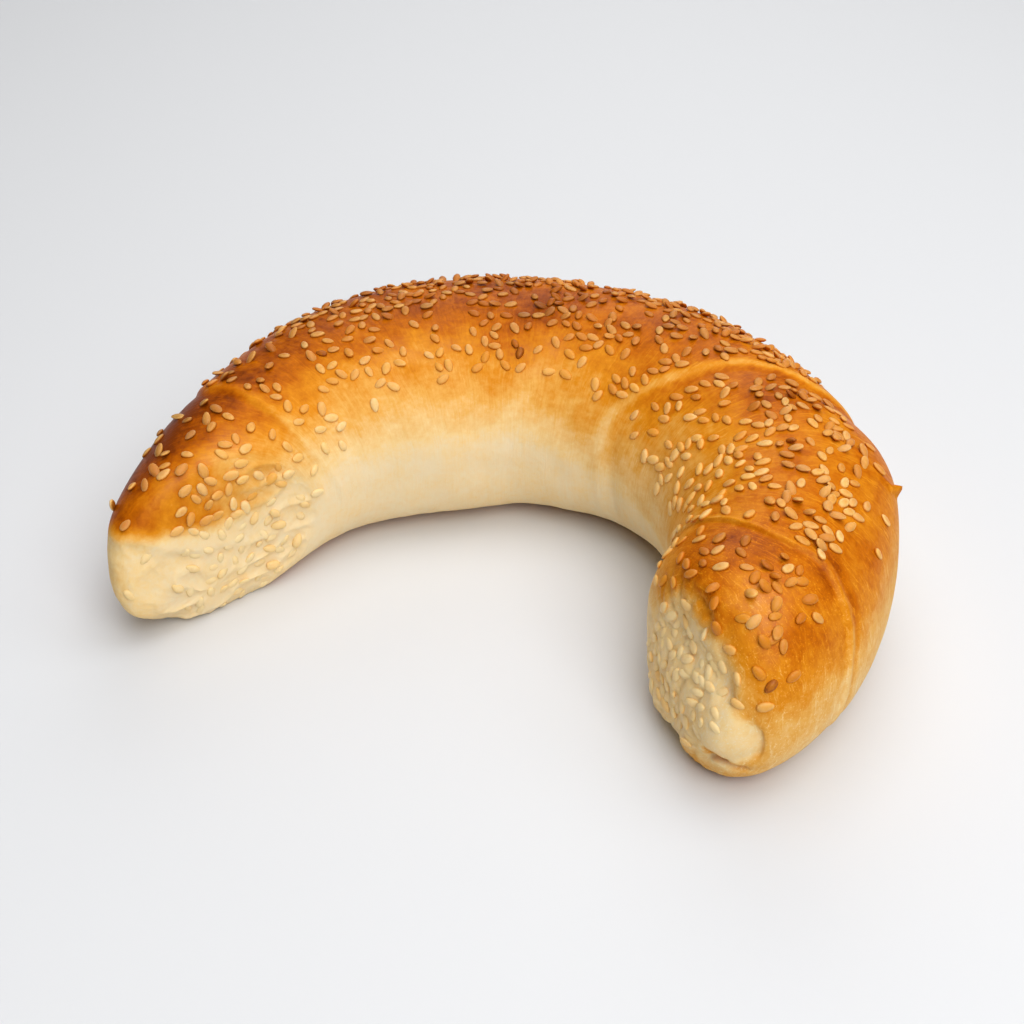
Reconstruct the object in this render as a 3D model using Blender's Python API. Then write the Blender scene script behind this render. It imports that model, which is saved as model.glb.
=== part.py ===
"""Sesame crescent roll, modelled for Blender 4.5.

One piece of baked dough, rolled up, bent into a crescent and resting on its
flat base, with sesame seeds fused into the crust.  Metres, +Z up.  The origin
is on the base, under the middle of the roll's bounding box, and +X runs along
the longest side.

The skin is addressed by an arc position along the bent centre line (0 at the
middle of the bend, negative to the left tip) and by an angle round the
section (0 on the outer side of the bend, 90 degrees on top, 180 on the inner
side).
"""
import math
import random

import bmesh
import bpy
from mathutils import Matrix, Vector

# ---- the bent centre line ------------------------------------------------
ARM_LEFT = 0.1008            # arc length from the middle to the left tip
ARM_RIGHT = 0.1310           # and to the right tip
MIDDLE = (0.0077, 0.0401)    # where the middle of the bend stands
HEADING = math.radians(-8.3)
BEND = (-15.9, -17.1, -16.8, -17.3, -19.9, -16.2)   # curvature, per metre

# ---- the section, at even stations from the left tip to the right tip ----
HALF_WIDTH = (0.0179, 0.0214, 0.0297, 0.0290, 0.0256, 0.0226, 0.0202)
HEIGHT = (0.0356, 0.0424, 0.0444, 0.0426, 0.0397)
WAIST = 0.45                 # height of the widest line, in heights
DOME = 0.95                  # roundness of the top
FOOT = (2.1, 2.55, 2.8, 2.8, 2.8, 2.8, 2.8)  # squareness of the lower side
BASE_CUT = 0.0008            # how much the tray has flattened the base

# ---- the two blunt tips --------------------------------------------------
CAP = (0.0130, 0.0183)       # length over which each tip rounds off
CAP_POWER = (4.0, 3.0)
SHOULDER = (0.50, 0.36)      # height left at the end face, in heights
SLANT = (-0.85, 0.27)        # how far each end face is cut on the slant
SLANT_REACH = 0.045
FACE_ROUND = 0.007           # rounding of the end face itself
FACE_POWER = 2.6
FACE_MIDDLE = 0.24           # height of the end face's middle, in heights

# ---- the seams of the rolled dough ---------------------------------------
# arc position of each seam every 30 degrees round the section, from 0
SEAM_LEFT = (-0.0665, -0.068, -0.0715, -0.074, -0.0775, -0.079,
             -0.072, -0.068, -0.066, -0.0655, -0.0655, -0.066)
SEAM_MIDDLE = (0.061, 0.060, 0.0565, 0.049, 0.041, 0.031,
               0.0315, 0.035, 0.041, 0.047, 0.053, 0.058)
SEAM_RIGHT = (0.111, 0.109, 0.1073, 0.1082, 0.1063, 0.101,
              0.098, 0.0995, 0.103, 0.107, 0.1095, 0.111)
# name: arc positions, direction of the tip, width of the step, and the
# angles where it starts, is full, starts to fade and has faded
SEAMS = (
    (SEAM_LEFT, -1, 0.0022, (-30, 30, 175, 215)),
    (SEAM_MIDDLE, 1, 0.0028, (-40, 20, 190, 225)),
    (SEAM_RIGHT, 1, 0.0014, (-40, 5, 150, 185)),
)
LAYER_LIFT = 0.0006          # the upper layer stands up at its edge
LAYER_SINK = 0.0008          # and the lower one dips beside it
# broad swells of the side: arc, turn, their reach in each, and height
SWELLS = ((0.075, 34, 0.010, 20, 0.0014), (0.095, 8, 0.009, 16, -0.0009),
          (-0.093, 28, 0.007, 18, 0.0009))

# ---- the seeds -----------------------------------------------------------
SEED_LENGTH = 0.0034
SEED_WIDTH = 0.0021
SEED_THICKNESS = 0.0013
SEED_COUNT = 150
SEED_GAP = 0.0056            # least distance between two seeds in this pass
SEED_SINK = 0.00010          # centre of a seed below the crust

# ---- the mesh ------------------------------------------------------------
COLUMNS = 40
TIP_ROWS = 8
CRUST = (0.62, 0.30, 0.08, 1.0)


def smooth(values, t):
    """Smooth curve through values at even stations, t from -1 to 1."""
    last = len(values) - 1
    x = min(max((t + 1) / 2 * last, 0.0), float(last))
    i = min(int(x), last - 1)
    f = x - i
    a, b, c, d = ([2 * values[0] - values[1], *values,
                   2 * values[-1] - values[-2]])[i:i + 4]
    return b + 0.5 * f * (c - a + f * (2 * a - 5 * b + 4 * c - d
                                       + f * (3 * (b - c) + d - a)))


def around(values, angle):
    """Smooth closed curve through values at even angles round the section."""
    n = len(values)
    x = (math.degrees(angle) % 360) / 360 * n
    i = int(x) % n
    f = x - int(x)
    a, b, c, d = (values[(i + k) % n] for k in (-1, 0, 1, 2))
    return b + 0.5 * f * (c - a + f * (2 * a - 5 * b + 4 * c - d
                                       + f * (3 * (b - c) + d - a)))


def ease(x, low, high):
    f = min(max((x - low) / (high - low), 0.0), 1.0)
    return f * f * (3 - 2 * f)


def rounded(x, power):
    """Height of a rounded end at a depth x, both as shares from 0 to 1."""
    if x >= 1:
        return 1.0
    return (1 - (1 - max(x, 0.0)) ** power) ** (1 / power)


def station(arc):
    """Station from -1 at the left tip to 1 at the right tip."""
    return arc / ARM_LEFT if arc < 0 else arc / ARM_RIGHT


def centre_line(steps=400):
    """The centre line, walked out both ways from the middle of the bend."""
    line = {}
    for side, arm in ((-1, ARM_LEFT), (1, ARM_RIGHT)):
        x, y, heading = MIDDLE[0], MIDDLE[1], HEADING
        length = arm / steps
        line[0] = (x, y, heading)
        for i in range(steps):
            turn = side * length * smooth(BEND, side * (i + 0.5) / steps)
            heading += turn / 2
            x += side * length * math.cos(heading)
            y += side * length * math.sin(heading)
            heading += turn / 2
            line[side * (i + 1)] = (x, y, heading)
    return line, steps


LINE, LINE_STEPS = centre_line()


def on_line(arc):
    """Position and heading of the centre line at an arc position."""
    at = max(min(station(arc), 1.0), -1.0) * LINE_STEPS
    i = min(int(math.floor(at)), LINE_STEPS - 1)
    f = at - i
    return [p + (q - p) * f for p, q in zip(LINE[i], LINE[i + 1])]


def section(arc):
    """Half-width, underside, top and slant of the section at an arc."""
    t = station(arc)
    side = 0 if arc < 0 else 1
    depth = arc + ARM_LEFT if arc < 0 else ARM_RIGHT - arc
    cap = rounded(depth / CAP[side], CAP_POWER[side])
    face = rounded(depth / FACE_ROUND, FACE_POWER)
    height = smooth(HEIGHT, t)
    middle = FACE_MIDDLE * height
    top = height * (SHOULDER[side] + (1 - SHOULDER[side]) * cap)
    slant = SLANT[side] * max(1 - depth / SLANT_REACH, 0.0) ** 2
    return (smooth(HALF_WIDTH, t) * cap, middle * (1 - face),
            middle + (top - middle) * face, slant)


def seam_relief(arc, angle):
    """Height of the crust beside the seams, outward from the section."""
    turn = (math.degrees(angle) + 90) % 360 - 90
    relief = 0.0
    for seam, tip, step, (start, full, fading, faded) in SEAMS:
        share = ease(turn, start, full) * (1 - ease(turn, fading, faded))
        x = tip * (arc - around(seam, angle))
        if x < 0:
            relief += share * LAYER_LIFT * math.exp(x / 0.006)
        else:
            down = ease(x, 0, step)
            relief += share * (LAYER_LIFT * (1 - down)
                               - LAYER_SINK * down
                               * math.exp(-max(x - step, 0) / 0.008))
    return relief


def swell(arc, angle):
    turn = (math.degrees(angle) + 90) % 360 - 90
    return sum(high * math.exp(-((arc - at) / reach) ** 2
                               - ((turn - facing) / wide) ** 2)
               for at, facing, reach, wide, high in SWELLS)


def end_relief(arc, across, z):
    """Push of the end faces along the centre line, toward the tip."""
    if arc < 0:
        near = 1 - ease(arc + ARM_LEFT, 0.002, 0.008)
        lip = ease(z, 0.0185, 0.0205) * (1 - ease(z, 0.024, 0.034))
        return -near * ease(across, -0.012, -0.002) * (0.0013 * lip - 0.0006)
    near = 1 - ease(ARM_RIGHT - arc, 0.001, 0.006)
    lobe = math.exp(-((across - 0.0125) ** 2 + (z - 0.0150) ** 2) / 0.0045 ** 2)
    pocket = math.exp(-((across - 0.0115) / 0.0038) ** 2
                      - ((z - 0.0080) / 0.0022) ** 2)
    ear = math.exp(-((across + 0.0085) ** 2 + (1.2 * (z - 0.0076)) ** 2)
                   / 0.0045 ** 2)
    chin = ease(across, 0.004, 0.010) * (1 - ease(z, 0.0070, 0.0095))
    return near * (0.0018 * lobe - 0.0025 * pocket + 0.0015 * ear
                   - 0.0008 * chin - 0.0006)


def skin(arc, angle, out=0.0):
    """Point on the crust, raised outward from the section by out."""
    half, low, top, slant = section(arc)
    c, s = math.cos(angle), math.sin(angle)
    waist = low + WAIST * (top - low)
    if s >= 0:
        z = waist + (top - waist) * s ** DOME
    else:
        foot = smooth(FOOT, station(arc))
        flat = (1 - min(abs(c), 1.0) ** foot) ** (1 / foot)
        z = waist - (waist - low) * flat
    across = half * c
    length = math.hypot(c / max(half, 1e-5), s / max(top - waist, 1e-5))
    lift = (out + swell(arc, angle) + seam_relief(arc, angle)) / max(length, 1e-9)
    across += lift * c / max(half, 1e-5)
    z += lift * s / max(top - waist, 1e-5)
    x, y, heading = on_line(arc)
    along = slant * across + end_relief(arc, across, z)
    return Vector((x - math.sin(heading) * across + math.cos(heading) * along,
                   y + math.cos(heading) * across + math.sin(heading) * along,
                   max(z - BASE_CUT, 0.0)))


def tip_row(share, power):
    """Even spread of the rows over a rounded tip."""
    return 1 - math.sin(share * math.pi / 2) ** (2 / power)


def row_plan():
    """The mesh's rows, each the arc position it takes at every angle."""
    def between(start, end, count):
        return [(lambda a, f=i / count, p=start, q=end:
                 p(a) + (q(a) - p(a)) * f) for i in range(count)]

    def beside(seam, offset):
        return lambda a: around(seam, a) + offset

    left = beside(SEAM_LEFT, -0.0040)
    right = beside(SEAM_RIGHT, 0.0030)
    rows = [(lambda a, f=1 - i / TIP_ROWS: -ARM_LEFT
             + (left(a) + ARM_LEFT) * tip_row(f, CAP_POWER[0]))
            for i in range(TIP_ROWS)]
    marks = (
        (left, 1), (beside(SEAM_LEFT, -0.0018), 1),
        (beside(SEAM_LEFT, 0.0004), 2), (beside(SEAM_LEFT, 0.0070), 10),
        (beside(SEAM_MIDDLE, -0.0060), 2), (beside(SEAM_MIDDLE, -0.0004), 1),
        (beside(SEAM_MIDDLE, 0.0024), 2), (beside(SEAM_MIDDLE, 0.0090), 6),
        (beside(SEAM_RIGHT, -0.0060), 2), (beside(SEAM_RIGHT, -0.0004), 1),
        (beside(SEAM_RIGHT, 0.0012), 1), (right, 0))
    for (start, count), (end, _) in zip(marks, marks[1:]):
        rows += between(start, end, count)
    rows += [(lambda a, f=i / TIP_ROWS: ARM_RIGHT
              - (ARM_RIGHT - right(a)) * tip_row(f, CAP_POWER[1]))
             for i in range(TIP_ROWS + 1)]
    return rows


def mapped_sphere(rows, columns, point):
    """A sphere whose rows and columns are laid out on the roll's skin."""
    mesh = bmesh.new()
    bmesh.ops.create_uvsphere(mesh, u_segments=columns,
                              v_segments=len(rows) - 1, radius=1.0)
    for vert in mesh.verts:
        share = math.acos(max(-1.0, min(1.0, vert.co.z))) / math.pi
        row = rows[round(share * (len(rows) - 1))]
        pole = math.hypot(vert.co.x, vert.co.y) < 1e-6
        angle = math.pi / 2 if pole else math.atan2(vert.co.y, vert.co.x)
        vert.co = point(row(angle), angle)
    bmesh.ops.recalc_face_normals(mesh, faces=mesh.faces[:])
    return mesh


def seed_share(arc, angle):
    """How thickly the crust is sown at a place, from 0 to 1."""
    turn = (math.degrees(angle) + 90) % 360 - 90
    mm = arc * 1000
    inner = smooth((172, 168, 146, 136, 142, 152, 172, 178, 178),
                   min(max((mm + 100) / 115 - 1, -1), 1))
    thick = smooth((0.60, 0.55, 0.62, 0.85, 0.90, 1.0, 1.0, 0.5, 0.45),
                   min(max((mm + 100) / 115 - 1, -1), 1))
    share = thick * ease(turn, 18, 48) * (1 - ease(turn, inner - 12, inner))
    for seam, tip, step, _ in SEAMS:
        x = tip * (arc - around(seam, angle))
        share *= 1 - ease(x, -0.0012, 0.0) * (1 - ease(x, step + 0.002,
                                                       step + 0.0045))
    end = min(arc + ARM_LEFT, ARM_RIGHT - arc)
    if end < 0.003:
        share = 0.55 if -20 < turn < 200 else 0.0
    return share


def sow(count, gap, draw):
    """Seed places, spread evenly by area and by how thickly they are sown."""
    rows, columns = row_plan(), COLUMNS
    cells, total = [], 0.0
    for r in range(len(rows) - 1):
        for c in range(columns):
            a = 2 * math.pi * (c + 0.5) / columns
            da = math.pi / columns
            arc0, arc1 = rows[r](a), rows[r + 1](a)
            middle = (arc0 + arc1) / 2
            area = ((skin(arc1, a) - skin(arc0, a)).length
                    * (skin(middle, a + da) - skin(middle, a - da)).length)
            total += area * seed_share(middle, a)
            cells.append((total, r, c))
    places = []
    for _ in range(count * 60):
        if len(places) == count:
            break
        pick = draw.random() * total
        low, high = 0, len(cells) - 1
        while low < high:
            mid = (low + high) // 2
            if cells[mid][0] < pick:
                low = mid + 1
            else:
                high = mid
        _, r, c = cells[low]
        angle = 2 * math.pi * (c + draw.random()) / columns
        f = draw.random()
        arc = rows[r](angle) * (1 - f) + rows[r + 1](angle) * f
        share = seed_share(arc, angle)
        point = skin(arc, angle)
        room = gap / math.sqrt(max(share, 0.2))
        if share > 0.05 and all((point - p[0]).length > room for p in places):
            places.append((point, arc, angle, draw.random(), draw.random(),
                           draw.random()))
    return places


def skin_frame(arc, angle):
    """Outward normal and the direction along the roll, on the skin."""
    da, ds = 0.03, 0.0006
    arc = min(max(arc, -ARM_LEFT + ds), ARM_RIGHT - ds)
    along = skin(arc + ds, angle) - skin(arc - ds, angle)
    round_ = skin(arc, angle + da) - skin(arc, angle - da)
    normal = along.cross(round_).normalized()
    if normal.dot(skin(arc, angle, 0.001) - skin(arc, angle)) < 0:
        normal.negate()
    return normal, along.normalized()


def seed_mesh():
    """One teardrop seed lying along +X, a little pointed at its +X end."""
    mesh = bmesh.new()
    bmesh.ops.create_uvsphere(mesh, u_segments=6, v_segments=4, radius=0.5)
    bmesh.ops.rotate(mesh, verts=mesh.verts,
                     matrix=Matrix.Rotation(math.pi / 2, 3, "Y"))
    for vert in mesh.verts:
        narrow = 1 - 0.45 * max(vert.co.x, 0.0) * 2
        vert.co = Vector((vert.co.x * SEED_LENGTH,
                          vert.co.y * SEED_WIDTH * narrow,
                          vert.co.z * SEED_THICKNESS * narrow))
    bmesh.ops.recalc_face_normals(mesh, faces=mesh.faces[:])
    data = bpy.data.meshes.new("seed")
    mesh.to_mesh(data)
    mesh.free()
    return data


def crust_material():
    material = bpy.data.materials.new("baked_crust")
    material.use_nodes = True
    shader = material.node_tree.nodes["Principled BSDF"]
    shader.inputs["Base Color"].default_value = CRUST
    shader.inputs["Roughness"].default_value = 0.5
    shader.inputs["Metallic"].default_value = 0.0
    return material


def build():
    for old in list(bpy.data.objects):
        bpy.data.objects.remove(old, do_unlink=True)
    group = bpy.data.collections.new("sesame_crescent_roll")
    toppings = bpy.data.collections.new("seeds_to_fuse")
    bpy.context.scene.collection.children.link(group)
    bpy.context.scene.collection.children.link(toppings)

    body = mapped_sphere(row_plan(), COLUMNS, skin)
    data = bpy.data.meshes.new("roll")
    body.to_mesh(data)
    body.free()
    roll = bpy.data.objects.new("roll", data)
    roll.data.materials.append(crust_material())
    group.objects.link(roll)

    draw = random.Random(54)
    shape = seed_mesh()
    for i, (point, arc, angle, spin, size, tilt) in enumerate(
            sow(SEED_COUNT, SEED_GAP, draw)):
        normal, along = skin_frame(arc, angle)
        side = normal.cross(along).normalized()
        along = side.cross(normal)
        turn = Matrix((along, side, normal)).transposed().to_4x4()
        seed = bpy.data.objects.new("seed_%03d" % i, shape)
        seed.matrix_world = (Matrix.Translation(point - normal * SEED_SINK)
                             @ turn
                             @ Matrix.Rotation(spin * 2 * math.pi, 4, "Z")
                             @ Matrix.Rotation((tilt - 0.5) * 0.3, 4, "Y")
                             @ Matrix.Scale(0.96 + 0.14 * size, 4))
        seed.hide_render = True
        seed.display_type = "WIRE"
        toppings.objects.link(seed)

    fuse = roll.modifiers.new("fuse_seeds", "BOOLEAN")
    fuse.operation = "UNION"
    fuse.operand_type = "COLLECTION"
    fuse.collection = toppings
    fuse.solver = "EXACT"
    bpy.context.view_layer.update()
    fused = bpy.data.meshes.new_from_object(
        roll.evaluated_get(bpy.context.evaluated_depsgraph_get()))
    roll.modifiers.clear()
    roll.data = fused
    fused.name = "roll"
    for seed in list(toppings.objects):
        bpy.data.objects.remove(seed, do_unlink=True)
    bpy.data.collections.remove(toppings)
    fused.shade_smooth()
    fused.set_sharp_from_angle(angle=math.radians(40))


build()
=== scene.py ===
"""Looks of the sesame crescent roll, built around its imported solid.

The dough is one closed skin, laid out along the bent centre line of the roll
and round its section, with the seams, the folded tips and the slack pale
dough modelled in the mesh.  The sesame seeds are one joined mesh at true
size.  Lengths are in metres.
"""
import bisect
import functools
import math
import random

import bmesh
import bpy
from bpy.props import (FloatProperty, FloatVectorProperty, IntProperty,
                       PointerProperty)
from mathutils import Matrix, Vector, noise


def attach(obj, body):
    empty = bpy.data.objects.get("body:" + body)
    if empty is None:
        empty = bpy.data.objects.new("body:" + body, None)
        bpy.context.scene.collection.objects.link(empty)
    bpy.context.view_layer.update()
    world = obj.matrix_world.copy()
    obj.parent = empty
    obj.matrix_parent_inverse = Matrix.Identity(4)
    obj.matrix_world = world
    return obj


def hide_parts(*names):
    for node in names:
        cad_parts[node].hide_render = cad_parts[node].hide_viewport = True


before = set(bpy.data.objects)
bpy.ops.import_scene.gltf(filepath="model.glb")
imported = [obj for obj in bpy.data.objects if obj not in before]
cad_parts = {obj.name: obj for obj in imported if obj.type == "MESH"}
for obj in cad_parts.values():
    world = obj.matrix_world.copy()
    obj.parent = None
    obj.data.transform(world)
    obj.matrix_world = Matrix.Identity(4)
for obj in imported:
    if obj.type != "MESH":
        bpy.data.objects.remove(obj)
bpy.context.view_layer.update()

bl_info = {
    "name": "Sesame Crescent Roll",
    "version": (1, 0, 0),
    "blender": (4, 5, 0),
    "location": "View3D > Sidebar > Roll",
    "description": "Builds the crust, the seeds and the stage of a sesame "
                   "crescent roll",
    "category": "Add Mesh",
}

# ---- the form of the roll, the same named sizes as its solid -------------
# The arc runs along the centre line, below zero on the left arm.  The turn
# runs round the section in degrees, 0 outside, 90 on top and 180 inside.
# Rows of values lie at even stations from the left tip to the right tip.
ARM_LEFT = 0.1008
ARM_RIGHT = 0.1310
MIDDLE = (0.0077, 0.0401)    # where the centre line's arc is zero
HEADING = math.radians(-8.3)
BEND = (-15.9, -17.1, -16.8, -17.3, -19.9, -16.2)    # radians a metre
HALF_WIDTH = (0.0179, 0.0214, 0.0297, 0.0290, 0.0256, 0.0226, 0.0202)
HEIGHT = (0.0356, 0.0424, 0.0444, 0.0426, 0.0397)
WAIST = 0.45                 # height of the widest place, as a share
DOME = 0.95                  # power of the section's rounding above it
FOOT = (2.1, 2.55, 2.8, 2.8, 2.8, 2.8, 2.8)          # and below it
BASE_CUT = 0.0008            # taken off the underside to flatten it
# length and power of the two tips' rounding, left and right
CAP = (0.0130, 0.0183)
CAP_POWER = (4.0, 3.0)
SHOULDER = (0.50, 0.36)      # share of the height left at the very tip
SLANT = (-0.85, 0.27)        # of the end faces, across the roll
SLANT_REACH = 0.045
# rounding of a face's rim, about a share of the height
FACE_ROUND = 0.007
FACE_POWER = 2.6
FACE_MIDDLE = 0.24
# the seams' lines, at even angles round the section
SEAM_LEFT = (-0.0665, -0.068, -0.0715, -0.074, -0.0775, -0.079,
             -0.072, -0.068, -0.066, -0.0655, -0.0655, -0.066)
SEAM_MIDDLE = (0.061, 0.060, 0.0565, 0.049, 0.041, 0.031,
               0.0315, 0.035, 0.041, 0.047, 0.053, 0.058)
SEAM_RIGHT = (0.111, 0.109, 0.1073, 0.1082, 0.1063, 0.101,
              0.098, 0.0995, 0.103, 0.107, 0.1095, 0.111)
# each seam's line, its tip's side, its step's width, and the turns where it
# starts, is full, begins to fade and has faded
SEAMS = (
    (SEAM_LEFT, -1, 0.0022, (-30, 30, 175, 215)),
    (SEAM_MIDDLE, 1, 0.0028, (-40, 20, 190, 225)),
    (SEAM_RIGHT, 1, 0.0014, (-40, 5, 150, 185)),
)
# how far a rolled layer stands out at its edge, and sinks past it
LAYER_LIFT = 0.0006
LAYER_SINK = 0.0008
LIFT_REACH = 0.006
SINK_REACH = 0.008
# broad swells of the side: arc, turn, their reach in each, and amount
SWELLS = ((0.075, 34, 0.010, 20, 0.0014), (0.095, 8, 0.009, 16, -0.0009),
          (-0.093, 28, 0.007, 18, 0.0009))
# The plain forms of the end faces.  A mound is given as its place across and
# up, how many times its height counts, and its reach.
LIP_ACROSS = (-0.012, -0.002)
LIP_UP = (0.0185, 0.0205, 0.024, 0.034)
LIP_HEIGHT = 0.0013
LOBE = (0.0125, 0.0150, 1.0, 0.0045)
LOBE_HEIGHT = 0.0018
POCKET = (0.0115, 0.0080)
POCKET_REACH = (0.0038, 0.0022)
POCKET_DEPTH = 0.0025
EAR = (-0.0085, 0.0076, 1.2, 0.0045)
EAR_HEIGHT = 0.0015
CHIN_ACROSS = (0.004, 0.010)
CHIN_UP = (0.0070, 0.0095)
CHIN_DEPTH = 0.0008
FACE_DEPTH = 0.0006          # how far a face lies behind its forms

SOW_COLUMNS = 40             # the coarse grid that the seeds are drawn on
SOW_ROWS = (8, 1, 1, 2, 10, 2, 1, 2, 6, 2, 1, 1, 8)
FINE_ROWS = (56, 4, 8, 10, 110, 9, 8, 10, 60, 10, 6, 4, 50)
FIRST_SEEDS = 150            # the large seeds that the solid carries too
FIRST_GAP = 0.0056
GAP = 0.0058                 # room round a small seed, where sown thinly
DRAW = 54

AIM = (0.0016, 0.0195, 0.0)  # where the camera looks
CAMERA_FROM_AIM = (0, -0.2876, 0.2090)
CAMERA_TILT = math.radians(54.0)
LENS = 55.0                  # millimetres
FLOOR_HALF = 3.0
# the floor lies a hair below the roll, so that no faces lie in one plane
FLOOR_DROP = 0.0001
SKY = 0.12
MIDST = (0.0, 0.02, 0.0)
# each soft lamp's name, place, aim, size and share of the power
SOFT_LAMPS = (
    ("lamp_above", (0.0, 0.05, 0.90), MIDST, 0.90, 0.37),
    ("lamp_above_right", (0.45, 0.02, 0.78), MIDST, 0.70, 0.20),
    ("lamp_front", (0.238, -0.570, 0.636), MIDST, 0.65, 0.51),
    ("lamp_back", (0.11, 0.647, 0.636), MIDST, 0.65, 0.11),
    ("lamp_far", (0.05, 1.15, 0.55), (0.05, 0.75, 0.0), 0.90, 0.27))


# ---- curves and sections -------------------------------------------------
def spline(a, b, c, d, f):
    """Smooth curve from b to c, with a before them and d after."""
    return b + 0.5 * f * (c - a + f * (2 * a - 5 * b + 4 * c - d + f * (3 * (b - c) + d - a)))


def smooth(values, t):
    """Smooth curve through values at even stations, t from -1 to 1."""
    last = len(values) - 1
    x = min(max((t + 1) / 2 * last, 0.0), float(last))
    i = min(int(x), last - 1)
    f = x - i
    return spline(*([2 * values[0] - values[1], *values,
                     2 * values[-1] - values[-2]])[i:i + 4], f)


@functools.lru_cache(maxsize=None)
def around(values, angle):
    """Smooth closed curve through values at even angles round the section."""
    n = len(values)
    x = (math.degrees(angle) % 360) / 360 * n
    i = int(x) % n
    f = x - int(x)
    return spline(*(values[(i + k) % n] for k in (-1, 0, 1, 2)), f)


def ease(x, low, high):
    """Soft step from 0 at low to 1 at high."""
    f = min(max((x - low) / (high - low), 0.0), 1.0)
    return f * f * (3 - 2 * f)


def fade(x, low, high):
    """Soft step from 1 at low to 0 at high."""
    return 1 - ease(x, low, high)


def band(x, start, full, fading, faded):
    """1 between full and fading, and easing to 0 on both sides."""
    return ease(x, start, full) * fade(x, fading, faded)


def bell(x, middle, width):
    return math.exp(-((x - middle) / width) ** 2)


def mound(across, z, middle, up, tall, reach):
    """Round mound on an end face; heights count tall times."""
    return bell(math.hypot(across - middle, (z - up) * tall), 0, reach)


def rounded(x, power):
    """Height of a rounded end at a depth x, both as shares from 0 to 1."""
    if x >= 1:
        return 1.0
    return (1 - (1 - max(x, 0.0)) ** power) ** (1 / power)


def station(arc):
    """The arc as a share of its arm, from -1 to 1."""
    return arc / ARM_LEFT if arc < 0 else arc / ARM_RIGHT


def depth_in(arc):
    """Length of dough between an arc and its own arm's tip."""
    return arc + ARM_LEFT if arc < 0 else ARM_RIGHT - arc


def degrees_round(angle):
    """Angle in degrees from -90 under the roll, up its outer side and over."""
    return (math.degrees(angle) + 90) % 360 - 90


def centre_line(steps=400):
    """Places and headings along the two arms, and steps to an arm."""
    line = {}
    for side, arm in ((-1, ARM_LEFT), (1, ARM_RIGHT)):
        x, y, heading = MIDDLE[0], MIDDLE[1], HEADING
        length = arm / steps
        line[0] = (x, y, heading)
        for i in range(steps):
            turn = side * length * smooth(BEND, side * (i + 0.5) / steps)
            heading += turn / 2
            x += side * length * math.cos(heading)
            y += side * length * math.sin(heading)
            heading += turn / 2
            line[side * (i + 1)] = (x, y, heading)
    return line, steps


LINE, LINE_STEPS = centre_line()


def on_line(arc):
    at = max(min(station(arc), 1.0), -1.0) * LINE_STEPS
    i = min(int(math.floor(at)), LINE_STEPS - 1)
    f = at - i
    return [p + (q - p) * f for p, q in zip(LINE[i], LINE[i + 1])]


def section(arc):
    """Half-width, underside, top and slant of the section at an arc."""
    t = station(arc)
    side = 0 if arc < 0 else 1
    depth = depth_in(arc)
    cap = rounded(depth / CAP[side], CAP_POWER[side])
    face = rounded(depth / FACE_ROUND, FACE_POWER)
    height = smooth(HEIGHT, t)
    middle = FACE_MIDDLE * height
    top = height * (SHOULDER[side] + (1 - SHOULDER[side]) * cap)
    slant = SLANT[side] * max(1 - depth / SLANT_REACH, 0.0) ** 2
    return (smooth(HALF_WIDTH, t) * cap, middle * (1 - face),
            middle + (top - middle) * face, slant)


def across_at(arc, angle):
    """How far a point lies from the centre line, positive outside."""
    return section(arc)[0] * math.cos(angle)


def layer(x, step, lift, sink, lift_reach, sink_reach):
    """Relief of a rolled layer's edge, with x from it towards the tip."""
    if x < 0:
        return lift * math.exp(x / lift_reach)
    down = ease(x, 0, step)
    return lift * (1 - down) - sink * down * math.exp(-max(x - step, 0) / sink_reach)


def seam_relief(arc, angle):
    turn = degrees_round(angle)
    relief = 0.0
    for seam, tip, step, reach in SEAMS:
        x = tip * (arc - around(seam, angle))
        relief += band(turn, *reach) * layer(
            x, step, LAYER_LIFT, LAYER_SINK, LIFT_REACH, SINK_REACH)
    return relief


def patches(rows, arc, turn):
    """Soft patches together: arc, turn, their reach in each, and amount."""
    return sum(amount * bell(arc, at, reach) * bell(turn, facing, wide)
               for at, facing, reach, wide, amount in rows)


def chin_at(across, z):
    """The low, baked part of the right end, from 0 to 1."""
    return ease(across, *CHIN_ACROSS) * fade(z, *CHIN_UP)


def end_relief(arc, across, z):
    """Shift along the centre line of the plain forms of the end faces."""
    if arc < 0:
        near = fade(depth_in(arc), 0.002, 0.008)
        return -near * ease(across, *LIP_ACROSS) * (LIP_HEIGHT * band(z, *LIP_UP) - FACE_DEPTH)
    near = fade(depth_in(arc), 0.001, 0.006)
    pocket = math.exp(-((across - POCKET[0]) / POCKET_REACH[0]) ** 2
                      - ((z - POCKET[1]) / POCKET_REACH[1]) ** 2)
    return near * (LOBE_HEIGHT * mound(across, z, *LOBE)
                   - POCKET_DEPTH * pocket
                   + EAR_HEIGHT * mound(across, z, *EAR)
                   - CHIN_DEPTH * chin_at(across, z) - FACE_DEPTH)


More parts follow.
